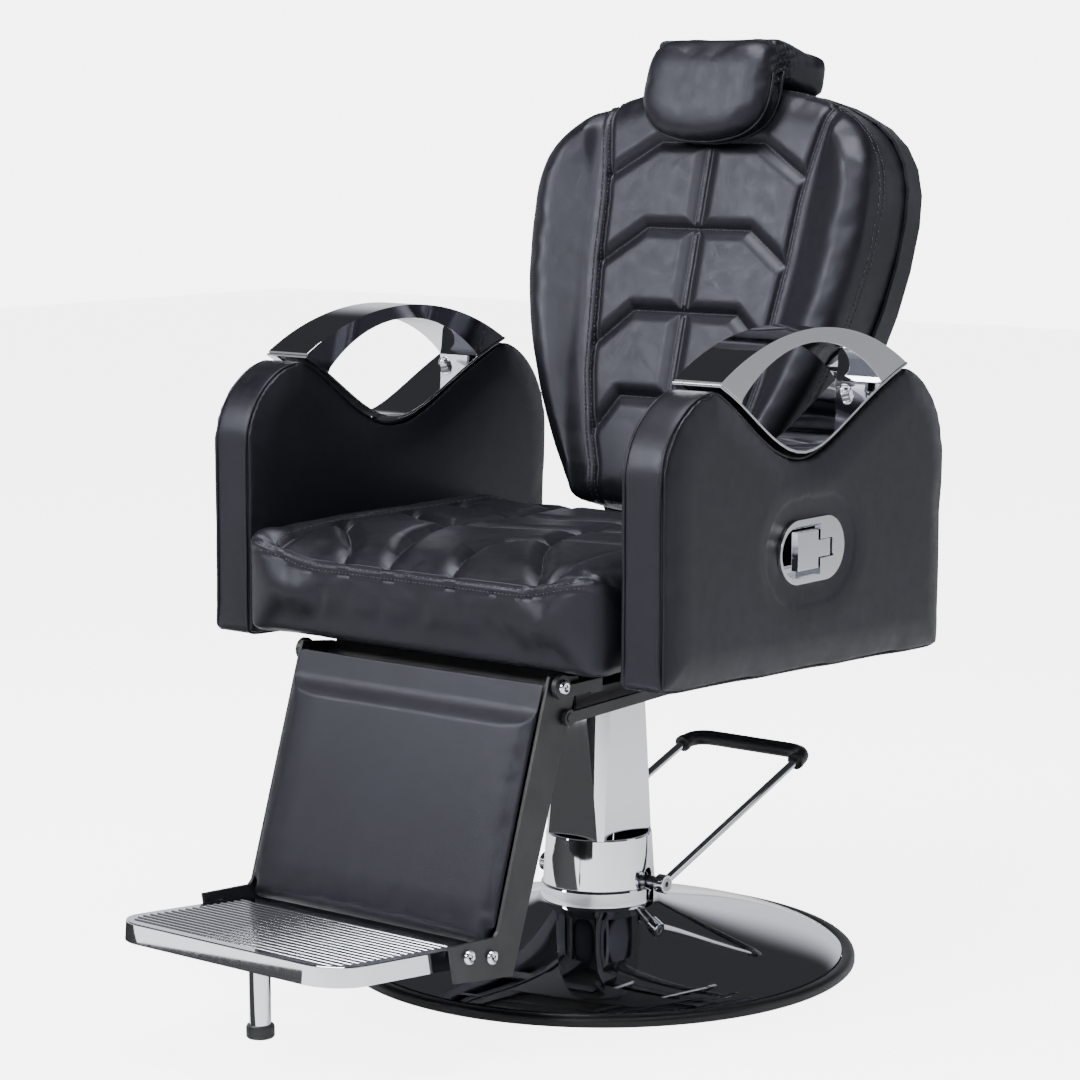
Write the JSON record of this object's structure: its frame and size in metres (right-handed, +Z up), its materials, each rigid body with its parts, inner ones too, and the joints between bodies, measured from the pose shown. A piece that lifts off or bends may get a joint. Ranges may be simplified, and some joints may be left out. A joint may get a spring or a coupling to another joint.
{
  "type": "reclining barber chair",
  "caption": "Hydraulic barber chair: round base, pump column with foot pedal, reclining back with headrest, arm panels with arched rests, linked legrest and folding footplate.",
  "frame": {"origin": "centre of the round base where the column axis meets the floor", "axes": "+Z up the column; the chair faces -Y; +X is the sitter's left, the side with the recline lever"},
  "size_m": [0.6478, 0.9669, 1.0648],
  "materials": {
    "black_leather": "smooth coated upholstery leather, soft sheen, fine grain",
    "chrome": "bright decorative chrome plate on polished steel",
    "black_rubber": "moulded black rubber, satin",
    "black_steel": "black powder coat, fine texture",
    "bare_steel": "zinc-plated turned steel",
    "plywood": "raw birch plywood, hidden inside",
    "black_nylon": "black nylon, matt"
  },
  "bodies": {
    "base": {"base_floor_plate": "black_steel", "base_ring": "black_rubber", "base_dome": "chrome", "pump_body": "black_steel", "pump_gland": "bare_steel", "column_cover": "chrome"},
    "pedal": {"pedal_shaft": "bare_steel", "pedal_bar": "chrome", "pedal_grip": "black_rubber"},
    "lift": {"ram": "chrome"},
    "seat": {"swivel_hub": "black_steel", "frame_rail_left": "black_steel", "frame_rail_right": "black_steel", "frame_cross_front": "black_steel", "frame_cross_rear": "black_steel", "arm_bar_front": "black_steel", "arm_bar_rear": "black_steel", "seat_board": "plywood", "seat_cushion": "black_leather", "back_pivot_shaft": "bare_steel", "legrest_pivot_bolt_left": "bare_steel", "legrest_pivot_bolt_right": "bare_steel", "arm_panel_left": "black_leather", "arm_panel_right": "black_leather", "arm_saddle_left": "chrome", "arm_saddle_right": "chrome", "arm_arch_left": "chrome", "arm_arch_right": "chrome", "arch_nut_left": "chrome", "arch_nut_right": "chrome", "lever_bezel": "chrome", "lever_pin": "bare_steel", "release_cable": "black_nylon", "strut_cylinder": "black_steel"},
    "lever": {"release_lever": "chrome"},
    "strut_rod": {"strut_rod": "bare_steel"},
    "back": {"back_pivot_tube": "black_steel", "back_lever_left": "black_steel", "back_lever_right": "black_steel", "strut_lever": "black_steel", "back_upright_left": "black_steel", "back_upright_right": "black_steel", "back_board": "plywood", "back_cushion": "black_leather", "back_shell": "black_leather", "headrest_sleeve": "black_nylon"},
    "headrest": {"headrest_pad": "black_leather", "headrest_bar_left": "chrome", "headrest_bar_right": "chrome"},
    "legrest": {"legrest_frame": "black_steel", "legrest_pad": "black_leather", "boot_bolt_left": "chrome", "boot_bolt_right": "chrome"},
    "link_left": {"link_left": "black_steel"},
    "link_right": {"link_right": "black_steel"},
    "footplate": {"footplate_plate": "chrome", "footplate_leg": "chrome", "footplate_foot": "black_rubber", "footplate_bolt_left": "chrome", "footplate_bolt_right": "chrome"}
  },
  "joints": [
    {"name": "pedal_press", "type": "hinge", "parent": "base", "child": "pedal", "pos_m": [0, 0.011, 0.096], "axis": [-1, 0, 0], "range_deg": [0, 28], "stiffness_Nm_per_rad": 5, "springref_deg": -34.38},
    {"name": "seat_lift", "type": "slide", "parent": "base", "child": "lift", "axis": [0, 0, 1], "range_m": [0, 0.14]},
    {"name": "seat_swivel", "type": "hinge", "parent": "lift", "child": "seat", "pos_m": [0, 0, 0.33], "axis": [0, 0, 1], "continuous": true},
    {"name": "back_recline", "type": "hinge", "parent": "seat", "child": "back", "pos_m": [0, 0.2, 0.4], "axis": [-1, 0, 0], "range_deg": [0, 50]},
    {"name": "legrest_swing", "type": "hinge", "parent": "seat", "child": "legrest", "pos_m": [0, -0.303, 0.386], "axis": [-1, 0, 0], "range_deg": [0, 50]},
    {"name": "link_left_turn", "type": "hinge", "parent": "back", "child": "link_left", "pos_m": [0.182, 0.21424, 0.36477], "axis": [-1, 0, 0], "range_deg": [-50, 0]},
    {"name": "link_right_turn", "type": "hinge", "parent": "back", "child": "link_right", "pos_m": [-0.182, 0.21424, 0.36477], "axis": [-1, 0, 0], "range_deg": [-50, 0]},
    {"name": "strut_slide", "type": "slide", "parent": "seat", "child": "strut_rod", "axis": [0, 1, 0], "range_m": [-0.036, 0]},
    {"name": "headrest_slide", "type": "slide", "parent": "back", "child": "headrest", "axis": [0, 0.2639, 0.9646], "range_m": [0, 0.1]},
    {"name": "footplate_fold", "type": "hinge", "parent": "legrest", "child": "footplate", "pos_m": [0, -0.44984, 0.12511], "axis": [-1, 0, 0], "range_deg": [0, 90]},
    {"name": "lever_pull", "type": "hinge", "parent": "seat", "child": "lever", "pos_m": [0.32, -0.012, 0.515], "axis": [0, 0, 1], "range_deg": [0, 25], "stiffness_Nm_per_rad": 0.5, "springref_deg": -22.92}
  ],
  "couplings": [
    {"joint": "legrest_swing", "follows": "back_recline", "ratio": 1},
    {"joint": "link_left_turn", "follows": "back_recline", "ratio": -1},
    {"joint": "link_right_turn", "follows": "back_recline", "ratio": -1},
    {"joint": "strut_slide", "follows": "back_recline", "m_per_rad": -0.040681}
  ]
}
